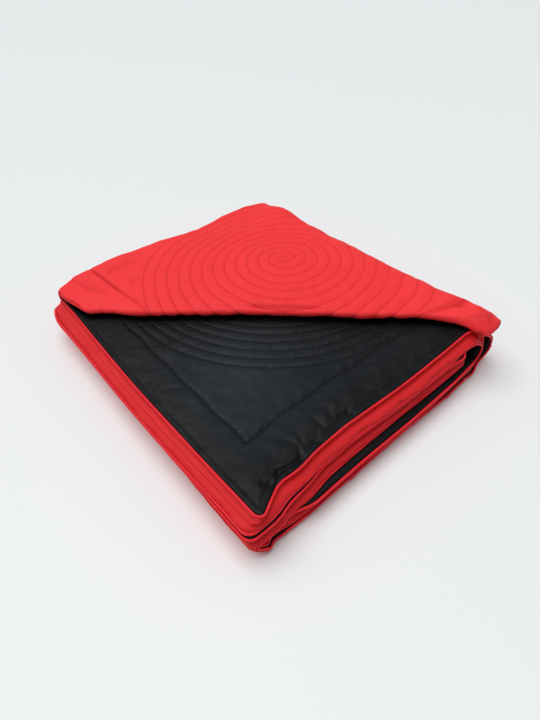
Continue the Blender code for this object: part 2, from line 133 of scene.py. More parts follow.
def doubledPath(s):
    # the doubled quilt's middle line: x, z and the normal towards the half with the top layer
    x, z = np.array(s), np.full_like(s, level[3])
    nx, nz = np.zeros_like(s), np.ones_like(s)
    runs = [(1, "bend", bendRight, level[0] + outerBend, outerBend), (2, "back", bendRight, level[0], 0),
            (3, "hook", bendLeft, level[0] + innerBend, innerBend), (4, "forth", bendLeft, level[1], 0),
            (5, "rise", bendRight, level[1] + innerBend, innerBend), (6, "back", bendRight, level[2], 0)]
    for first, kind, middle, height, radius in runs:
        here, along = s >= stations[first], s - stations[first]
        sine, cosine = np.sin(along / max(radius, 1e-9)), np.cos(along / max(radius, 1e-9))
        if kind == "bend":
            values = middle + radius * sine, height + radius * cosine, sine, cosine
        elif kind == "hook":
            values = middle - radius * sine, height - radius * cosine, -sine, -cosine
        elif kind == "rise":
            values = middle + radius * sine, height - radius * cosine, -sine, cosine
        elif kind == "forth":
            values = middle + along, height + 0 * s, 0 * s, 0 * s + 1
        else:
            values = middle - along, height + 0 * s, 0 * s, 0 * s - 1
        x, z, nx, nz = (np.where(here, new, old) for new, old in zip(values, (x, z, nx, nz)))
    return x, z, nx, nz


def liftAt(s):
    # room between the top layer and the next, for the turned-under corner
    return cornerLift * (1 - ease(stations[1] + quilt["liftFrom"] * runLengths[1], stations[2], s))


def creaseSizes(s):
    # middle, radius and quarter-turn length of the crease along the back
    radius = seamOffset + liftAt(s) / 2
    return liftAt(s) / 2, radius, math.pi * radius / 2


# The crease's sizes along the top run, where the room below it is the same all along
topRadius, topStraight = (float(size) for size in creaseSizes(np.array(0.3))[1:])
topRow = creaseTop - topRadius + topStraight


def planRow(s, t):
    # how far from the front a point of a flat layer lies, seen from above and before it settles
    _, radius, straight = creaseSizes(s)
    return creaseTop - radius - (np.abs(t) - straight)


def roundCorners(s, t):
    # the square corners of the flat quilt drawn in to quarter circles
    corner = quilt["cornerRadius"]
    a = np.maximum(np.abs(s - quiltLength / 2) - (quiltLength / 2 - corner), 0)
    b = np.maximum(np.abs(t) - (quiltHalf - corner), 0)
    share = np.where((a > 0) & (b > 0), np.maximum(a, b) / np.maximum(np.hypot(a, b), 1e-9), 1.0)
    return s - np.sign(s - quiltLength / 2) * a * (1 - share), t - np.sign(t) * b * (1 - share)


def pastTurn(s, y):
    # how far a point of the top layer lies past the line of the turned edge
    return (s - turnStart[0]) * turnAcross[0] + (y - turnStart[1]) * turnAcross[1]


def place(s, t, e):
    # The folded place of the quilt's point (s, t) at height e over its seam: a quarter turn from the long
    # crease, then half a turn round the turned edge, then the doubled path plus n along its normal.
    s, t, e = (np.array(v, float) for v in np.broadcast_arrays(s, t, e))
    s, t = roundCorners(s, t)
    middle, radius, straight = creaseSizes(s)
    reach = np.abs(t)
    angle = np.minimum(reach, straight) / radius
    y = creaseTop - radius + (radius + e) * np.cos(angle) - np.maximum(reach - straight, 0)
    n = middle + np.sign(t) * (radius + e) * np.sin(angle)
    past = pastTurn(s, y)
    turned = (s < stations[2]) & (t > straight) & (past > 0)
    curl = np.clip(past / turnRadius, 0, math.pi)
    rolling = past < turnLength
    out = np.where(rolling, (turnRadius + e) * np.sin(curl), turnLength - past)
    drop = np.where(rolling, (turnRadius + e) * np.cos(curl) - turnRadius, -2 * turnRadius - e)
    sNew, yNew = s - (past - out) * turnAcross[0], y - (past - out) * turnAcross[1]
    first = quilt["gatherFrom"]
    room = stations[1] - quilt["gatherShort"] - first
    gathered = np.where(sNew > first, first + room * np.tanh((sNew - first) / room), sNew)
    sNew = sNew + (gathered - sNew) * ease(0.0, quilt["gatherOver"], past - turnLength)
    sFolded = np.where(turned, sNew, s)
    n = np.where(turned, seamOffset + liftAt(sFolded) + drop, n)
    x, z, nx, nz = doubledPath(sFolded)
    return settle(x + nx * n, np.where(turned, yNew, y), z + nz * n, sFolded, t)


def alongRuns(s, values):
    # a layer's value at s: steady on each flat run, easing to the next round a bend
    result = values[runNames[0]] + 0 * s
    for k in range(3):
        change = values[runNames[k + 1]] - values[runNames[k]]
        result = result + change * ease(stations[2 * k + 1] - 0.03, stations[2 * k + 2] + 0.03, s)
    return result


def frontStep(s, t, x):
    # how far the front edge of the layer at (s, t) stands out at x, softened over 16 mm of x
    halves = []
    for half in ("upper", "lower"):
        rows = settling["frontStep"][half]
        values = {name: (np.interp(x - 0.008, settling["frontAt"], rows[name])
                         + np.interp(x + 0.008, settling["frontAt"], rows[name])) / 2 for name in runNames}
        halves.append(alongRuns(s, values))
    return np.where(t > 0, *halves)


def settle(x, y, z, s, t):
    # the stack's unevenness, as shifts along y, then x, then z, each worked out after the one before
    spans = settling["spans"]
    nearFront, nearLeft = 1 - ease(*spans["front"], y), 1 - ease(*spans["left"], x)
    stepY = frontStep(s, t, x - leftTable("leftFront", z) * nearLeft)
    roundBend = 1 - ease(stations[1], stations[1] + settling["drapeEnd"] * runLengths[1], s)
    drape = np.where(t > 0, settling["frontDrape"] * ease(*spans["drape"], x) * roundBend, 0)
    reachY = table("backReach", x) * ease(*spans["back"], y)
    newY = y - (stepY + drape) * nearFront + reachY

    toMiddle, toBack = ease(*spans["leftMiddle"], newY), ease(*spans["leftBack"], newY)
    leftStep = (leftTable("leftFront", z) * (1 - toMiddle) + leftTable("leftMiddle", z) * (toMiddle - toBack)
                + leftTable("leftBack", z) * toBack)
    pastBack = np.maximum(newY - settling["backRoundFrom"], 0)
    backRound = settling["backRound"] * pastBack ** 2 * (1 - ease(*spans["backRoundUp"], z))
    leftTuck = settling["topTuck"] * ease(*spans["topTuck"], newY) * ease(level[2], level[3], z)
    tuck = table("rightTuck", z) * (1 - ease(*spans["rightTuck"], newY))
    newX = x - (leftStep - leftTuck - backRound) * nearLeft
    newX = newX + (table("rightReach", z) - tuck) * ease(*spans["right"], x)

    slitFront = 1 - ease(*spans["slitFront"], newY)
    atFront = (1 - ease(*spans["slitLeft"], newX)) * slitFront
    atRight = ease(*spans["slitRight"], newX) * slitFront
    opening = sum((front * atFront + right * atRight) * ease(height - halfAir, height + halfAir, z)
                  for height, front, right in settling["slits"])
    u, v = np.clip(newX / quilt["stackWidth"], 0, 1), np.clip(newY / quilt["stackDepth"], 0, 1)
    corner = settling["cornerHeight"]
    scale = (corner["front"] * (1 - u) * (1 - v) + corner["right"] * u * (1 - v)
             + corner["left"] * (1 - u) * v + corner["back"] * u * v)
    dome = settling["dome"] * bell(0.5, 0.5, u) * bell(0.5, 0.5, v) * ease(0, level[3], z)
    middleX, middleY = quilt["middle"]
    return np.stack([newX - middleX, newY - middleY, z * scale + opening + dome], -1)


# The quilted pattern: spirals in a row along the quilt, inside straight lines beside its edges.
quilting = {
    "red": {"centre": (0.462, 0.425), "pitch": 0.0255, "turns": 12.5, "lean": 0.14, "side": 0.098,
            "slant": 0.10, "width": 0.0060, "wobble": 0.0},
    "black": {"centre": (0.452, 0.463), "pitch": 0.0232, "turns": 16.0, "lean": 0.0, "side": 0.0720,
              "slant": 0.0, "width": 0.0042, "wobble": 0.0014},
    "front": 0.0945, "repeat": 0.74, "leanAngle": math.radians(48), "slantFrom": 0.67,
    "wavesAcross": 62, "wavesAlong": 47, "frameSpan": (-0.002, 0.004),
}


def insideFrame(s, y, pattern):
    # signed distance inside the straight lines beside the edges, which waver a little
    spiral = quilting[pattern]
    side = (spiral["side"] + spiral["slant"] * np.maximum(quilting["slantFrom"] - y, 0)
            + spiral["wobble"] * np.sin(y * quilting["wavesAcross"]))
    front = quilting["front"] + spiral["wobble"] * np.sin(s * quilting["wavesAlong"] + 1)
    return np.minimum(np.minimum(s - side, quiltLength - spiral["side"] - s), y - front)


def spiralDistance(s, y, pattern):
    # distance to the nearest turn of the nearest spiral: turn = r (1 + lean cos) / pitch - angle / 2 pi
    spiral = quilting[pattern]
    x = s - spiral["centre"][0]
    x = x - quilting["repeat"] * np.clip(np.round(x / quilting["repeat"]), 0, 2)
    angle = np.arctan2(y - spiral["centre"][1], x)
    turn = np.hypot(x, y - spiral["centre"][1]) * (1 + spiral["lean"] * np.cos(angle - quilting["leanAngle"]))
    turn = turn / spiral["pitch"] - angle / (2 * math.pi)
    near = np.where(turn < spiral["turns"] + 0.4, np.abs(turn - np.round(turn)) * spiral["pitch"], 1.0)
    return near + (1 - ease(*quilting["frameSpan"], insideFrame(s, y, pattern)))


def lineDepth(s, t, pattern):
    # 1 on a quilted line, falling off as a bell curve
    y = planRow(s, t)
    near = np.minimum(spiralDistance(s, y, pattern), np.abs(insideFrame(s, y, pattern)))
    return np.exp(-((near / quilting[pattern]["width"]) ** 2))


def ripple(u, v, size, seed):
    # soft unevenness of about the given wavelength: plane waves in many directions, bent by each other
    u = u + 0.35 * size * np.sin(2 * math.pi * v / (1.9 * size) + seed)
    v = v + 0.35 * size * np.sin(2 * math.pi * u / (2.3 * size) + 2 * seed)
    total = 0
    for k in range(8):
        angle = 2.4 * k + seed
        across = u * math.cos(angle) + v * math.sin(angle)
        total = total + np.sin(across * 2 * math.pi / size * (0.75 + 0.07 * k) + 1.3 * k * seed)
    return total / 2.8


def waves(s, t, rows):
    # a sum of ripples, each with its height, wavelength and seed
    return sum(height * ripple(s, t, size, seed) for height, size, seed in rows)


def creaseDepth(s, y, creases):
    # soft troughs along short straight lines: depth exp(-(distance / width)^2), faded at the ends
    total = 0
    for row in creases:
        (ax, ay), (bx, by) = row["from"], row["to"]
        length = math.hypot(bx - ax, by - ay)
        along = ((s - ax) * (bx - ax) + (y - ay) * (by - ay)) / length
        share = along / length
        bow = row["bend"] * (share * (1 - share))
        across = ((s - ax) * (by - ay) - (y - ay) * (bx - ax)) / length - bow
        fade = ease(-0.3 * length, 0.2 * length, along) * (1 - ease(0.8 * length, 1.3 * length, along))
        total = total + row["depth"] * fade * np.exp(-((across / row["width"]) ** 2))
    return total


def creaseAndShade(start, end, width, depth, bend=0.0):
    # one row of a table of creases: where it runs, how wide and deep it is, and how far it bows sideways; its
    # depth sets both the crease's relief and its painted shade
    return {"from": start, "to": end, "width": width, "depth": depth, "bend": bend}


# Face panels: their walls and shoulders, then the grid's steps, finer where a layer shows.
panelShape = {
    "wallSteps": 8, "wallTuck": 0.0015, "rimRound": 0.009, "rimShare": 0.70,
    "red": {"bulge": 0.0022, "join": 0.0022, "seam": 0.0012, "seamAt": 0.75},
    "black": {"bulge": 0.0002, "join": 0.0014, "seam": 0.0, "seamAt": 0.75},
    "wallWaves": ((0.5, 0.11, 5.0), (0.35, 0.035, 6.0)),
    "foldStep": 0.003, "rightBendStep": 0.004, "flatStep": 0.0065, "bendStep": 0.0028,
    "hiddenStep": 0.016, "underStep": 0.0069, "edgeBand": 0.030, "edgeStep": 0.005,
    "denseStep": 0.0041, "denseBand": 0.055, "denseEdgeStep": 0.0023,
}
rowStep = turnLength / 6 / abs(turnAcross[1])
columnStep = rowStep * turnAlong[0] / abs(turnAlong[1])


# Grids over the flat quilt. Each row and column has a place and a share down the edge's side wall.
def withWalls(places, low, high, steps):
    # adds wall rows beyond both ends: same place, wall share rising to 1, then a tuck inwards
    shares = np.linspace(0, 1, steps + 1)[1:]
    lowSide = np.concatenate([[low + panelShape["wallTuck"]], np.full(steps, low)])
    highSide = np.concatenate([np.full(steps, high), [high - panelShape["wallTuck"]]])
    places = np.concatenate([lowSide, places, highSide])
    walls = np.concatenate([[1.0], shares[::-1], np.zeros(len(places) - 2 * steps - 2), shares, [1.0]])
    return places, walls


def spaced(start, end, step):
    # even places from start to end, about a step apart
    return np.linspace(start, end, max(2, int(round((end - start) / step)) + 1))


def gridFaces(base, columns, rows, outward):
    # two triangles for each cell, split along the diagonal that the turned edge follows
    i, j = np.meshgrid(np.arange(columns - 1), np.arange(rows - 1), indexing="ij")
    a = base + (i * rows + j).ravel()
    b, c, d = a + rows, a + rows + 1, a + 1
    faces = np.concatenate([np.stack([a, b, c], 1), np.stack([a, c, d], 1)])
    return faces[:, ::-1] if outward else faces


def stitchFaces(fine, coarse, fineRows, coarseRows, outward):
    # joins a fine column to a coarse one: each cell edge goes to the nearest point on the other side
    middles = (fineRows[:-1] + fineRows[1:]) / 2
    near = np.searchsorted((coarseRows[:-1] + coarseRows[1:]) / 2, middles)
    first = np.stack([fine[:-1], coarse[near], fine[1:]], 1)
    split = np.searchsorted(near, np.arange(1, len(coarseRows)))
    second = np.stack([coarse[:-1], coarse[1:], fine[split]], 1)
    faces = np.concatenate([first, second])
    return faces[:, ::-1] if outward else faces


def clothMesh(name, points, faces, flat, material, marks=None):
    # a mesh object from whole arrays: the flat quilt's coordinates are its UV map, marks its named values
    mesh = bpy.data.meshes.new(name)
    mesh.vertices.add(len(points))
    mesh.vertices.foreach_set("co", points.astype(np.float32).ravel())
    mesh.loops.add(faces.size)
    mesh.loops.foreach_set("vertex_index", faces.astype(np.int32).ravel())
    mesh.polygons.add(len(faces))
    mesh.polygons.foreach_set("loop_start", np.arange(0, faces.size, 3, dtype=np.int32))
    mesh.polygons.foreach_set("loop_total", np.full(len(faces), 3, dtype=np.int32))
    mesh.update(calc_edges=True)
    mesh.validate()
    mesh.polygons.foreach_set("use_smooth", np.ones(len(mesh.polygons), dtype=bool))
    uv = mesh.uv_layers.new(name="flat")
    corner = np.zeros(len(mesh.loops), dtype=np.int32)
    mesh.loops.foreach_get("vertex_index", corner)
    uv.data.foreach_set("uv", flat[corner].astype(np.float32).ravel())
    for mark, values in (marks or {}).items():
        mesh.attributes.new(mark, "FLOAT", "POINT").data.foreach_set("value", values.astype(np.float32))
    mesh.materials.append(material)
    piece = bpy.data.objects.new(name, mesh)
    bpy.context.scene.collection.objects.link(piece)
    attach(piece, "root")
    return piece


# Shader maths: Shade wraps a socket, and sums of Shades add their Math nodes.
class Shade:
    def __init__(self, tree, socket=None):
        self.tree, self.socket = tree, socket

    def node(self, kind, settings=None, inputs=None, output=0):
        # any node: its settings first, then the values or links of its sockets
        made = self.tree.nodes.new(kind)
        for key, value in (settings or {}).items():
            setattr(made, key, value)
        for key, value in (inputs or {}).items():
            if isinstance(value, Shade):
                self.tree.links.new(value.socket, made.inputs[key])
            else:
                made.inputs[key].default_value = value
        return Shade(self.tree, made.outputs[output])

    def maths(self, operation, *values):
        return self.node("ShaderNodeMath", {"operation": operation}, dict(enumerate(values)))

    def __add__(self, other):
        return self.maths("ADD", self, other)

    def __radd__(self, other):
        return self.maths("ADD", other, self)

    def __sub__(self, other):
        return self.maths("SUBTRACT", self, other)

    def __rsub__(self, other):
        return self.maths("SUBTRACT", other, self)

    def __mul__(self, other):
        return self.maths("MULTIPLY", self, other)

    def __rmul__(self, other):
        return self.maths("MULTIPLY", other, self)

    def __truediv__(self, other):
        return self.maths("DIVIDE", self, other)

    def __rtruediv__(self, other):
        return self.maths("DIVIDE", other, self)

    def __abs__(self):
        return self.maths("ABSOLUTE", self)

    def bellCurve(self, width):
        # exp(-(value / width)^2)
        scaled = self / width
        return self.maths("EXPONENT", scaled * scaled * -1.0)

    def between(self, low, high):
        # 0 below low, 1 above high, smooth between them
        return self.node("ShaderNodeMapRange", {"interpolation_type": "SMOOTHSTEP"},
                         {"Value": self, "From Min": low, "From Max": high})

    def noise(self, place, scale, detail):
        return self.node("ShaderNodeTexNoise", {"noise_dimensions": "3D"},
                         {"Vector": place, "Scale": scale, "Detail": detail, "Roughness": 0.5})

    def mixColours(self, first, second):
        # this value is the share of the second colour
        return self.node("ShaderNodeMix", {"data_type": "RGBA"}, {0: self, 6: first, 7: second}, 2)


def newMaterial(name, constants):
    # a material whose fixed values are set on the shader's own sockets
    material = bpy.data.materials.new(name)
    material.use_nodes = True
    shader = material.node_tree.nodes["Principled BSDF"]
    for key, value in constants.items():
        shader.inputs[key].default_value = value
    return material, Shade(material.node_tree), shader


def flatPlace(start):
    # the quilt's flat coordinates: the vector, s and t
    uv = start.node("ShaderNodeUVMap", {"uv_map": "flat"})
    s, t = (start.node("ShaderNodeSeparateXYZ", {}, {0: uv}, axis) for axis in range(2))
    return uv, s, t


def quiltedLines(start, s, t, pattern):
    # lineDepth's pattern in the shader: the distance to the nearest line, and the way along the spiral
    spiral = quilting[pattern]
    y = topRow - abs(t)
    x = s - spiral["centre"][0]
    x = x - quilting["repeat"] * start.maths("MAXIMUM", start.maths("ROUND", x / quilting["repeat"]), 0.0)
    y = y - spiral["centre"][1]
    angle = start.maths("ARCTAN2", y, x)
    reach = start.maths("SQRT", x * x + y * y)
    turn = reach * (1 + spiral["lean"] * start.maths("COSINE", angle - quilting["leanAngle"]))
    turn = turn / spiral["pitch"] - angle / (2 * math.pi)
    inside = 1 - turn.between(spiral["turns"] + 0.3, spiral["turns"] + 0.4)
    near = abs(turn - start.maths("ROUND", turn)) * spiral["pitch"] + (1 - inside)
    row = y + spiral["centre"][1]
    waverAcross = start.maths("SINE", row * quilting["wavesAcross"]) * spiral["wobble"]
    waverAlong = start.maths("SINE", s * quilting["wavesAlong"] + 1) * spiral["wobble"]
    slanted = spiral["slant"] * start.maths("MAXIMUM", quilting["slantFrom"] - row, 0.0)
    side = spiral["side"] + slanted + waverAcross
    fromFrame = start.maths("MINIMUM", s - side, row - quilting["front"] - waverAlong)
    near = near + (1 - fromFrame.between(*quilting["frameSpan"]))
    hidden = s.between(stations[2] - 0.01, stations[2] + 0.01)
    return start.maths("MINIMUM", near, abs(fromFrame)) + hidden, angle * reach


# What both sateens share: the stitching thread, the clouding and the weave, and the seam width, wall span and
# limit of the painted shade
sateen = {
    "threadWidth": 0.0009, "puckerReach": 0.007, "cloudScale": 6.0, "grainScale": 420.0, "grainStretch": 5.0,
    "cloudShare": 0.5, "softShare": 0.25, "grainShare": 0.14, "seamWidth": 0.07, "wallSpan": (0.02, 0.3),
    "darkest": 0.95, "roughSoft": 0.12, "roughValley": 0.1,
}


def clothMaterial(name, pattern, looks):
    # colour: cloudy between deep and bright, with painted shade in the valleys, creases and seam and down the
    # walls, and a painted sheen; bump: puckers and stitches
    material, start, shader = newMaterial(name, {"Specular IOR Level": looks["specular"]})
    uv, s, t = flatPlace(start)
    near, run = quiltedLines(start, s, t, pattern)
    valley = near.bellCurve(looks["valleyWidth"])
    thread = near.bellCurve(sateen["threadWidth"])
    wall = start.node("ShaderNodeAttribute", {"attribute_name": "wall"}, {}, 2)
    paintedShadeMark = start.node("ShaderNodeAttribute", {"attribute_name": "creaseAndShade"}, {}, 2)
    stitch = thread * (start.maths("SINE", run * (2 * math.pi / looks["stitch"])) * 0.5 + 0.5)
    soft = start.noise(uv, looks["softScale"], 3.0)
    cloudy = start.noise(uv, sateen["cloudScale"], 2.0)
    stretch = sateen["grainStretch"]
    grain, grainAcross = (
        start.noise(start.node("ShaderNodeMapping", {}, {"Vector": uv, "Scale": scale}),
                    sateen["grainScale"], 1.0)
        for scale in ((1.0, stretch, 1.0), (stretch, 1.0, 1.0)))
    pucker = start.noise(uv, looks["puckerScale"], 2.0)
    # painted sheen: a broad lighter patch round one place on the face, standing in for the light the black
    # sateen reflects there
    sheenS, sheenRow = s - looks["paintedSheenAt"][0], topRow - abs(t) - looks["paintedSheenAt"][1]
    toSheen = start.maths("SQRT", sheenS * sheenS + sheenRow * sheenRow)
    share = ((cloudy - 0.5) * sateen["cloudShare"] + (soft - 0.5) * sateen["softShare"]
             + (grain + grainAcross - 1.0) * sateen["grainShare"] + looks["evenShare"]
             + toSheen.bellCurve(looks["paintedSheenReach"]) * looks["paintedSheen"])
    colour = share.mixColours(looks["deep"], looks["bright"])
    # painted shade, mixed towards the shade colour: in the seam's groove, in the quilted valleys and creases,
    # down the side walls that the light reaches less, and wherever the marks carry painted shadow
    seam = (wall - looks["seamAt"]).bellCurve(sateen["seamWidth"]) * looks["seamShade"]
    paintedWallShade = wall.between(*sateen["wallSpan"]) * looks["wallShade"]
    shade = valley * looks["valleyShade"] + paintedShadeMark * looks["creaseShade"] + seam + paintedWallShade
    shade = start.maths("MINIMUM", shade, sateen["darkest"])
    colour = shade.mixColours(colour, looks["shadeColour"])
    puckered = (pucker - 0.5) * near.bellCurve(sateen["puckerReach"]) * looks["puckerHeight"]
    height = (soft * looks["softHeight"] + puckered + (grain + grainAcross) * looks["grainHeight"]
              - valley * looks["valleyDepth"] + stitch * looks["stitchHeight"])
    bump = start.node("ShaderNodeBump", {}, {"Height": height, "Distance": 1.0, "Strength": 1.0})
    start.tree.links.new(colour.socket, shader.inputs["Base Color"])
    rough = looks["rough"] + (soft - 0.5) * sateen["roughSoft"] + valley * sateen["roughValley"]
    start.tree.links.new(rough.socket, shader.inputs["Roughness"])
    start.tree.links.new(bump.socket, shader.inputs["Normal"])
    return material


# shadeColour is the painted shade's colour; valleyShade, seamShade, creaseShade and wallShade say how much of
# it each place gets
redLooks = {
    "deep": (0.74, 0.023, 0.027, 1), "bright": (0.94, 0.037, 0.041, 1), "shadeColour": (0.44, 0.001, 0.004, 1),
    "rough": 0.60, "specular": 0.20, "valleyWidth": 0.0018, "valleyShade": 0.29, "valleyDepth": 0.0005,
    "stitch": 0.0034, "stitchHeight": 0.0003, "softScale": 34.0, "softHeight": 0.0016, "puckerScale": 210.0,
    "puckerHeight": 0.0016, "grainHeight": 0.00006, "seamAt": 0.72, "seamShade": 0.7, "creaseShade": 0.5,
    "wallShade": 0.56, "paintedSheen": 0.0, "paintedSheenAt": (0.14, 0.20), "paintedSheenReach": 0.15, "evenShare": 0.5,
}
blackLooks = {
    "deep": (0.0008, 0.0018, 0.0028, 1), "bright": (0.0110, 0.0150, 0.0185, 1),
    "shadeColour": (0.0003, 0.0004, 0.0005, 1),
    "rough": 0.45, "specular": 0.15, "valleyWidth": 0.0021, "valleyShade": 0.68, "valleyDepth": 0.0006,
    "stitch": 0.0034, "stitchHeight": 0.0003, "softScale": 30.0, "softHeight": 0.0022, "puckerScale": 170.0,
    "puckerHeight": 0.0026, "grainHeight": 0.00006, "seamAt": 5.0, "seamShade": 0.0, "creaseShade": 0.9,
    # the painted sheen on the black face: how strong it is, where it sits and how far it reaches
    "wallShade": 0.7, "paintedSheen": 0.85, "paintedSheenAt": (0.15, 0.20), "paintedSheenReach": 0.13, "evenShare": 0.22,
}
redCloth = clothMaterial("red sateen", "red", redLooks)
blackCloth = clothMaterial("black sateen", "black", blackLooks)
print("cloth materials made")


def fineRows():
    # rows of the upper half, in step with the columns: the turned edge lies along the cells' diagonals
    first = topStraight + creaseTop - topRadius - turnStart[1]
    rows = first + rowStep * np.arange(-400, 400)
    rows = rows[(rows > topStraight + 0.3 * rowStep) & (rows < quiltHalf - 0.4 * rowStep)]
    return np.concatenate([spaced(0, topStraight, panelShape["foldStep"]), rows, [quiltHalf]])


def bandedRows(step, band, edgeStep):
    # rows of one half: round the long crease, then a step apart, then closer in a band beside the edge
    inner = quiltHalf - band
    return np.concatenate([spaced(0, topStraight, panelShape["foldStep"]),
                           spaced(topStraight, inner, step)[1:], spaced(inner, quiltHalf, edgeStep)[1:]])


def coarseRows(step):
    # rows of a half that lies mostly hidden, closer only beside the edge
    return bandedRows(step, panelShape["edgeBand"], panelShape["edgeStep"])


def denseRows():
    # rows of the second layer's half: closer together, most of all towards its piped edge
    return bandedRows(panelShape["denseStep"], panelShape["denseBand"], panelShape["denseEdgeStep"])


def columnsOf(run):
    # even columns along one run: the odd ones are bends
    step = panelShape["bendStep"] if run % 2 else panelShape["flatStep"]
    return spaced(stations[run], stations[run + 1], step)[1:]


def panelGrid(fine):
    # Flat places, wall shares and faces of a whole panel: a fine patch over the top and round the right
    # side, then a coarser one for the layers inside the stack. fine is 1 where the upper half shows, as on
    # the red face, and -1 where the lower one does.
    step = panelShape["hiddenStep"]
    if fine > 0:
        upper, lower = fineRows(), coarseRows(step)
    else:
        upper, lower = coarseRows(panelShape["underStep"]), denseRows()
    rows = np.concatenate([-lower[::-1], upper[1:]])
    rest = coarseRows(step)
    restRows = np.concatenate([-rest[::-1], rest[1:]])
    top = columnStep * np.arange(0, int(bendRight / columnStep) + 1)
    columns = np.concatenate([top, spaced(top[-1], stations[2], panelShape["rightBendStep"])[1:]])
    later = np.concatenate([columnsOf(run) for run in range(2, 7)])
    steps = panelShape["wallSteps"]
    rows, rowWalls = withWalls(rows, -quiltHalf, quiltHalf, steps)
    restRows, restWalls = withWalls(restRows, -quiltHalf, quiltHalf, steps)
    columns, columnWalls = withWalls(columns, 0.0, 0.0, steps)
    columns, columnWalls = columns[:-steps - 1], columnWalls[:-steps - 1]
    later, laterWalls = withWalls(later, 0.0, quiltLength, steps)
    later, laterWalls = later[steps + 1:], laterWalls[steps + 1:]
    s1, t1 = (v.ravel() for v in np.meshgrid(columns, rows, indexing="ij"))
    s2, t2 = (v.ravel() for v in np.meshgrid(later, restRows, indexing="ij"))
    w1 = [v.ravel() for v in np.meshgrid(columnWalls, rowWalls, indexing="ij")]
    w2 = [v.ravel() for v in np.meshgrid(laterWalls, restWalls, indexing="ij")]
    base = len(s1)
    faces = [gridFaces(0, len(columns), len(rows), fine > 0),
             gridFaces(base, len(later), len(restRows), fine > 0)]
    lastColumn = (len(columns) - 1) * len(rows) + np.arange(len(rows))
    # the wall rows share one place, so they are spread a little to keep their order at the join
    order = rows + 0.002 * np.sign(rows) * rowWalls
    restOrder = restRows + 0.002 * np.sign(restRows) * restWalls
    order[0], order[-1], restOrder[0], restOrder[-1] = -9, 9, -9, 9
    faces.append(stitchFaces(lastColumn, base + np.arange(len(restRows)), order, restOrder, fine > 0))
    walls = [np.concatenate(pair) for pair in zip(w1, w2)]
    return np.concatenate([s1, s2]), np.concatenate([t1, t2]), walls, np.concatenate(faces)


def edgeDistance(s, t):
    # how far a flat point lies inside the nearest edge
    return np.minimum(np.minimum(s, quiltLength - s), quiltHalf - np.abs(t))


def wallOut(share, shape, uneven):
    # how far a wall stands out: an uneven bulge, the step out to the piping, and the seam's groove
    out = shape["bulge"] * np.sin(math.pi * share) * uneven + shape["join"] * ease(0.3, 0.95, share)
    return out - shape["seam"] * bell(shape["seamAt"], 0.2, share)


def onPanel(s, t, walls, height, shape):
    # lowers the height over the edge's rounded shoulder and down its wall, and sets the wall's stand-out
    share = panelShape["rimShare"]
    inset = np.clip(edgeDistance(s, t) / panelShape["rimRound"], 0, 1)
    shoulder = share + (1 - share) * np.sqrt(1 - (1 - inset) ** 2)
    height = height * shoulder * (1 - walls[0]) * (1 - walls[1])
    uneven = 1 + waves(s, t, panelShape["wallWaves"])
    sOut = wallOut(walls[0], shape, uneven) * np.where(s > quiltLength / 2, 1, -1)
    tOut = wallOut(walls[1], shape, uneven) * np.sign(t)
    return s + sOut, t + tOut, height


redCreases = [
    creaseAndShade((0.096, 0.690), (0.106, 0.590), 0.0050, 0.0026),
    creaseAndShade((0.106, 0.590), (0.118, 0.510), 0.0045, 0.0016),
    creaseAndShade((0.042, 0.692), (0.058, 0.610), 0.0045, 0.0018),
    creaseAndShade((0.058, 0.660), (0.075, 0.590), 0.006, 0.0010),
    creaseAndShade((0.167, 0.587), (0.141, 0.590), 0.008, 0.0012),
    creaseAndShade((0.200, 0.655), (0.120, 0.650), 0.012, 0.0010),
    creaseAndShade((0.292, 0.328), (0.380, 0.246), 0.0050, 0.0036, 0.004),
    creaseAndShade((0.525, 0.089), (0.560, 0.088), 0.0040, 0.0016),
    creaseAndShade((0.560, 0.088), (0.610, 0.084), 0.0045, 0.0034),
    creaseAndShade((0.572, 0.052), (0.600, 0.026), 0.0050, 0.0022),
    creaseAndShade((0.590, 0.060), (0.598, 0.034), 0.0040, 0.0012),
]
blackCreases = [
    creaseAndShade((0.052, 0.004), (0.075, 0.020), 0.0042, 0.0038, 0.006),
    creaseAndShade((0.075, 0.020), (0.120, 0.011), 0.0040, 0.0036),
    creaseAndShade((0.040, 0.030), (0.054, 0.010), 0.0042, 0.0030),
    creaseAndShade((0.130, 0.030), (0.118, 0.011), 0.0040, 0.0028),
    creaseAndShade((0.154, 0.022), (0.172, 0.006), 0.0042, 0.0024),
    creaseAndShade((0.165, 0.010), (0.238, 0.011), 0.0042, 0.0020),
    creaseAndShade((0.226, 0.024), (0.246, 0.023), 0.0040, 0.0028, 0.004),
    creaseAndShade((0.246, 0.023), (0.252, 0.012), 0.0040, 0.0020),
    creaseAndShade((0.120, 0.056), (0.136, 0.030), 0.0045, 0.0012),
    creaseAndShade((0.146, 0.050), (0.142, 0.026), 0.0045, 0.0014),
    creaseAndShade((0.190, 0.048), (0.192, 0.026), 0.0050, 0.0012),
    creaseAndShade((0.222, 0.044), (0.214, 0.030), 0.0050, 0.0010),
    creaseAndShade((0.300, 0.050), (0.330, 0.006), 0.008, 0.0008),
    creaseAndShade((0.010, 0.060), (0.024, 0.020), 0.006, 0.0010),
]

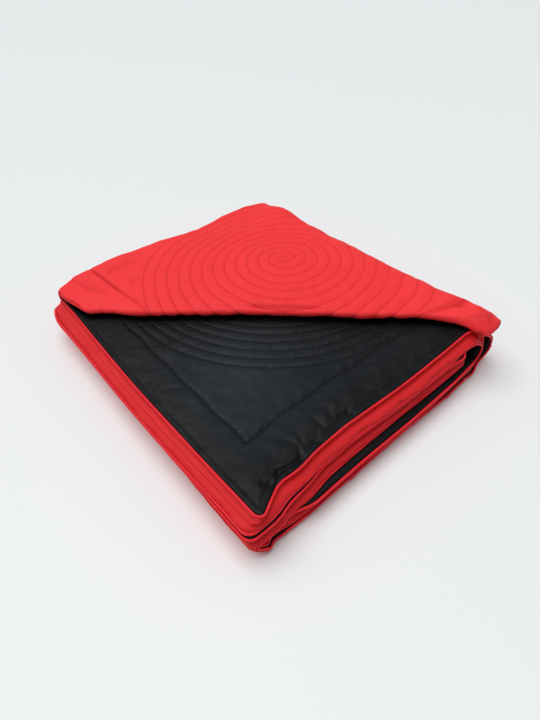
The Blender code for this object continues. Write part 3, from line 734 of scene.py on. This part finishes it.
# The faces' heights over the seam: how deep the lines and the presses go, and the ripples between them
relief = {
    "red": {"line": 0.0011, "farFade": 0.6, "pressed": 0.0042, "pressSpan": (-0.03, 0.002), "pressEnd": 0.03,
            "waves": ((0.0010, 0.16, 1.0), (0.0005, 0.045, 2.0))},
    "black": {"line": 0.0018, "straight": 0.0012, "straightWidth": 0.004, "hem": 0.0012, "hemAt": 0.012,
              "hemWidth": 0.0028, "puff": 0.0028, "puffSpan": (0.0, 0.05), "bareSpan": (0.006, 0.05),
              "waves": ((0.0006, 0.12, 3.0), (0.0003, 0.035, 4.0))},
    # the crease depth that gets the full painted shade
    "darkCrease": 0.0025,
}


def creaseShade(s, y, creases):
    # how much painted shade the creases get: their depth as a share of the darkest one's, up to 1
    return np.clip(creaseDepth(s, y, creases) / relief["darkCrease"], 0, 1)


def redHeights(s, t):
    # height of the red face: full, less the quilted lines and creases where a layer lies open; pressed
    # flatter along the turned edge, with its lines twice as deep there
    face, y = relief["red"], planRow(s, t)
    bare = np.where(t > 0, 1.0, 0.0) * (1 - ease(stations[2] - 0.02, stations[2], s))
    onTop = np.where((t > 0) & (s < stations[1]), 1.0, 0.0)
    past = pastTurn(s, y)
    beyond = ease(turnLength, turnLength + face["pressEnd"], past)
    pressed = face["pressed"] * ease(*face["pressSpan"], past) * (1 - beyond) * onTop
    fade = ease(0.0, 0.02, np.abs(t)) * (1 - face["farFade"] * ease(0.48, 0.60, s))
    depth = face["line"] * lineDepth(s, t, "red") * bare * fade
    depth = depth * (1 + onTop * bell(turnLength / 2, 0.02, past)) + pressed
    return redTop - depth + waves(s, t, face["waves"]) * bare - onTop * creaseDepth(s, y, redCreases)


def blackHeights(s, t):
    # height of the black face below the seam: puffed up where the second layer lies open, less its quilted
    # lines, a hem line beside the edge and the creases
    face, y, inwards = relief["black"], planRow(s, t), edgeDistance(s, t)
    bare = np.where((t < 0) & (s < stations[1]), 1.0, 0.0) * ease(*face["bareSpan"], pastTurn(s, y))
    hemLine = np.exp(-(((inwards - face["hemAt"]) / face["hemWidth"]) ** 2))
    straightLines = np.exp(-((insideFrame(s, y, "black") / face["straightWidth"]) ** 2))
    puff = face["puff"] * ease(*face["puffSpan"], inwards) + waves(s, t, face["waves"])
    depth = (face["line"] * lineDepth(s, t, "black") + face["straight"] * straightLines
             + face["hem"] * hemLine + creaseDepth(s, y, blackCreases))
    return -blackTop - bare * (puff - depth)


# Small local pulls on the finished shape: pinches sit on the flat quilt, tugs at a place in the stack
pinches = [
    {"at": (0.613, 0.708), "reach": 0.017, "shift": (-0.0110, 0.0110, 0.0020)},
    {"at": (0.599, 0.683), "reach": 0.012, "shift": (-0.0020, 0.0010, -0.0030)},
    {"at": (0.607, 0.696), "reach": 0.009, "shift": (0.0070, -0.0070, -0.0050)},
    {"at": (0.594, 0.655), "reach": 0.018, "shift": (0.0, 0.0, 0.0035)},
    {"at": (0.592, 0.628), "reach": 0.012, "shift": (-0.0010, 0.0, -0.0050)},
    {"at": (0.634, 0.706), "reach": 0.026, "shift": (-0.0110, 0.0092, 0.0)},
    {"at": (0.671, 0.706), "reach": 0.022, "shift": (0.0070, -0.0060, 0.0)},
]
tugs = [
    {"at": (-0.300, 0.225, 0.106), "reach": 0.100, "shift": (0.0200, -0.0120, 0.0), "topOnly": True},
    {"at": (0.265, -0.364, 0.112), "reach": 0.045, "shift": (-0.0060, -0.0072, -0.002), "topOnly": True},
    {"at": (0.298, -0.388, 0.110), "reach": 0.038, "shift": (-0.0153, 0.0120, 0.0), "topOnly": True},
    {"at": (0.308, -0.382, 0.127), "reach": 0.032, "shift": (-0.0085, 0.0070, 0.0), "topOnly": True},
    {"at": (0.296, -0.298, 0.134), "reach": 0.034, "shift": (-0.0050, -0.0020, -0.0060), "topOnly": True},
    {"at": (0.302, 0.262, 0.112), "reach": 0.095, "shift": (0.0150, 0.0080, 0.0070), "topOnly": True},
    {"at": (0.298, 0.350, 0.114), "reach": 0.045, "shift": (0.0, -0.0130, -0.0040), "topOnly": True},
    {"at": (0.262, -0.373, 0.010), "reach": 0.030, "shift": (0.0055, -0.0055, 0.0), "topOnly": False},
    {"at": (-0.322, -0.374, 0.010), "reach": 0.035, "shift": (0.0105, -0.0100, 0.0), "topOnly": False},
]


def pinched(points, s, t):
    # Each pull falls off as a bell round its place, a tug half as fast again up and down. Tugs for the top
    # layer fade out over the long crease and the right bend. Nothing goes below the floor.
    moved = points
    onTop = ease(-0.022, 0.0, t) * (1 - ease(stations[1], stations[1] + 0.05, s))
    for pull in tugs:
        away = (points - np.array(pull["at"])) * np.array([1, 1, 1.5])
        share = bell(0, pull["reach"], np.linalg.norm(away, axis=1)) * (onTop if pull["topOnly"] else 1)
        moved = moved + share[:, None] * np.array(pull["shift"])
    for pull in pinches:
        share = bell(0, pull["reach"], np.hypot(s - pull["at"][0], t - pull["at"][1]))
        moved = moved + share[:, None] * np.array(pull["shift"])
    return np.stack([moved[:, 0], moved[:, 1], np.maximum(moved[:, 2], 0)], 1)


# painted shade: the red face is shaded beside its edge inside the stack, where its shoulders would catch the
# light; it rides on the wall mark, so the wall's painted shade covers it
redShade = {"rim": 0.3, "rimOver": 0.022}   # the red face is darker beside its edge inside the stack
s, t, walls, faces = panelGrid(1)
sOut, tOut, height = onPanel(s, t, walls, redHeights(s, t), panelShape["red"])
redPoints = pinched(place(sOut, tOut, height), s, t)
paintedRimShade = redShade["rim"] * bell(0, redShade["rimOver"], edgeDistance(s, t)) * (s > stations[2])
redMarks = {"wall": np.maximum(np.maximum(*walls), paintedRimShade),
            "creaseAndShade": (t > 0) * creaseShade(s, planRow(s, t), redCreases)}
redFace = clothMesh("redFace", redPoints, faces, np.stack([s, t], 1), redCloth, redMarks)
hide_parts("red_face")
print("red face made,", len(faces), "triangles")

# The black face gets painted shade: a painted shadow under the turned edge, and painted shade towards its own
# edges and in the front corner
blackShade = {
    "turned": 0.8, "turnedSpan": (0.010, 0.030), "edge": 0.6, "edgeOver": 0.075,
    "corner": 0.25, "cornerOver": 0.10,
}
s, t, walls, faces = panelGrid(-1)
sOut, tOut, height = onPanel(s, t, walls, blackHeights(s, t), panelShape["black"])
blackPoints = pinched(place(sOut, tOut, height), s, t)
row = planRow(s, t)
paintedBlackShade = (blackShade["turned"] * (1 - ease(*blackShade["turnedSpan"], pastTurn(s, row))) * (s < stations[1])
            + blackShade["edge"] * (1 - ease(0.0, blackShade["edgeOver"], edgeDistance(s, t)))
            + blackShade["corner"] * (1 - ease(0.0, blackShade["cornerOver"], np.hypot(s, row))))
# the painted shadow and shade ride on the crease mark, together with the creases' own painted shade
blackMarks = {"wall": np.maximum(*walls),
              "creaseAndShade": (t < 0) * np.maximum(creaseShade(s, row, blackCreases), paintedBlackShade)}
blackReverse = clothMesh("blackReverse", blackPoints, faces, np.stack([s, t], 1), blackCloth,
                         blackMarks)
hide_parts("black_reverse")
print("black reverse made,", len(faces), "triangles")

# The piping: a cord along the edge between the two faces.
piping = {
    "radius": 0.0021, "gap": 0.0004, "step": 0.005, "sides": 10, "height": -0.00155, "ringStep": 0.001,
    "bright": (0.86, 0.016, 0.030, 1), "deep": (0.62, 0.008, 0.016, 1), "cloudScale": 60.0,
    "specular": 0.25, "rough": 0.42, "roughCloud": 0.2,
    "overhead": (0.12, 0.05, 0.99),   # each ring's side is square to this and to the path
}


def rimPath(step):
    # flat points round the whole edge, in order, with the way outwards at each
    alongS, alongT = spaced(0, quiltLength, step)[:-1], spaced(-quiltHalf, quiltHalf, step)[:-1]
    ones = np.ones_like
    s = np.concatenate([alongS, ones(alongT) * quiltLength, quiltLength - alongS, 0 * alongT])
    t = np.concatenate([-quiltHalf * ones(alongS), alongT, quiltHalf * ones(alongS), -alongT])
    outS = np.concatenate([0 * alongS, ones(alongT), 0 * alongS, -ones(alongT)])
    outT = np.concatenate([-ones(alongS), 0 * alongT, ones(alongS), 0 * alongT])
    return s, t, outS, outT


def tubeAlong(path, radius, sides):
    # circles across a closed path: path + radius (cos a side + sin a lift), side and lift square to the path
    tangent = np.roll(path, -1, axis=0) - np.roll(path, 1, axis=0)
    tangent = tangent / np.linalg.norm(tangent, axis=1)[:, None]
    side = np.cross(tangent, np.array(piping["overhead"]))
    side = side / np.linalg.norm(side, axis=1)[:, None]
    lift = np.cross(side, tangent)
    turn = 2 * math.pi * np.arange(sides) / sides
    ring = np.cos(turn)[None, :, None] * side[:, None] + np.sin(turn)[None, :, None] * lift[:, None]
    points = (path[:, None] + radius * ring).reshape(-1, 3)
    i, j = np.meshgrid(np.arange(len(path)), np.arange(sides), indexing="ij")
    iNext, jNext = (i + 1) % len(path), (j + 1) % sides
    a, b = (i * sides + j).ravel(), (iNext * sides + j).ravel()
    c, d = (iNext * sides + jNext).ravel(), (i * sides + jNext).ravel()
    return points, np.concatenate([np.stack([a, c, b], 1), np.stack([a, d, c], 1)]), i.ravel(), j.ravel()


s, t, outS, outT = rimPath(piping["step"])
middleHeight = np.full_like(s, piping["height"])
edge = place(s, t, middleHeight)
outside = place(s + 0.001 * outS, t + 0.001 * outT, middleHeight) - edge
along = np.roll(edge, -1, axis=0) - np.roll(edge, 1, axis=0)
along = along / np.linalg.norm(along, axis=1)[:, None]
outside = outside - np.sum(outside * along, axis=1)[:, None] * along
route = edge + outside * (piping["radius"] + piping["gap"]) / np.linalg.norm(outside, axis=1)[:, None]
route = pinched(route, s, t)
points, faces, around, across = tubeAlong(route, piping["radius"], piping["sides"])
points = np.stack([points[:, 0], points[:, 1], np.maximum(points[:, 2], 0)], 1)
flat = np.stack([around * piping["step"], across * piping["ringStep"]], 1)
pipingCloth, start, shader = newMaterial("piping sateen", {"Specular IOR Level": piping["specular"]})
uv, _, _ = flatPlace(start)
cloudy = start.noise(uv, piping["cloudScale"], 2.0)
colour = cloudy.mixColours(piping["deep"], piping["bright"])
start.tree.links.new(colour.socket, shader.inputs["Base Color"])
rough = piping["rough"] + cloudy * piping["roughCloud"]
start.tree.links.new(rough.socket, shader.inputs["Roughness"])
edgePiping = clothMesh("edgePiping", points, faces, flat, pipingCloth)
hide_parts("edge_piping")
print("piping made,", len(faces), "triangles")

# Floor, light and the photograph's camera
studio = {
    "floorColour": (0.77, 0.79, 0.79, 1), "floorSize": 30.0, "floorRough": 0.55,
    "worldColour": (0.95, 0.97, 1.0, 1), "worldStrength": 0.42,
    "sunFrom": (-0.16, 0.26, 1.0), "sunStrength": 2.25, "sunSpread": 55.0,
}
bpy.ops.mesh.primitive_plane_add(size=studio["floorSize"], location=(0, 0, 0))
floor = bpy.context.object
floor.name = "floor"
floorValues = {"Base Color": studio["floorColour"], "Roughness": studio["floorRough"]}
floor.data.materials.append(newMaterial("floor paint", floorValues)[0])

world = bpy.data.worlds.new("studio")
bpy.context.scene.world = world
world.use_nodes = True
background = world.node_tree.nodes["Background"]
background.inputs["Color"].default_value = studio["worldColour"]
background.inputs["Strength"].default_value = studio["worldStrength"]

softLight = bpy.data.lights.new("soft light", "SUN")
softLight.energy, softLight.angle = studio["sunStrength"], math.radians(studio["sunSpread"])
lamp = bpy.data.objects.new("soft light", softLight)
lamp.rotation_euler = Vector(studio["sunFrom"]).to_track_quat("Z", "Y").to_euler()
bpy.context.scene.collection.objects.link(lamp)
bpy.context.scene.view_settings.view_transform = "Standard"

view = {
    "place": (-0.2230, -0.3324, 0.7598), "yaw": 39.977, "pitch": 43.545, "roll": -1.006,
    "lens": 25.0, "sensor": 36.0, "nearest": 0.01,
}
yaw, pitch, roll = (math.radians(view[key]) for key in ("yaw", "pitch", "roll"))
forward = Vector((math.sin(yaw) * math.cos(pitch), math.cos(yaw) * math.cos(pitch), -math.sin(pitch)))
right = Vector((math.cos(yaw), -math.sin(yaw), 0))
up = right.cross(forward)
right, up = right * math.cos(roll) + up * math.sin(roll), up * math.cos(roll) - right * math.sin(roll)
cameraData = bpy.data.cameras.new("camera")
cameraData.lens, cameraData.sensor_width = view["lens"], view["sensor"]
cameraData.clip_start = view["nearest"]
camera = bpy.data.objects.new("camera", cameraData)
turned = Matrix((right, up, -forward)).transposed().to_4x4()
turned.translation = Vector(view["place"]) - Vector((*quilt["middle"], 0))
camera.matrix_world = turned
bpy.context.scene.collection.objects.link(camera)
bpy.context.scene.camera = camera
print("floor, light and camera set")
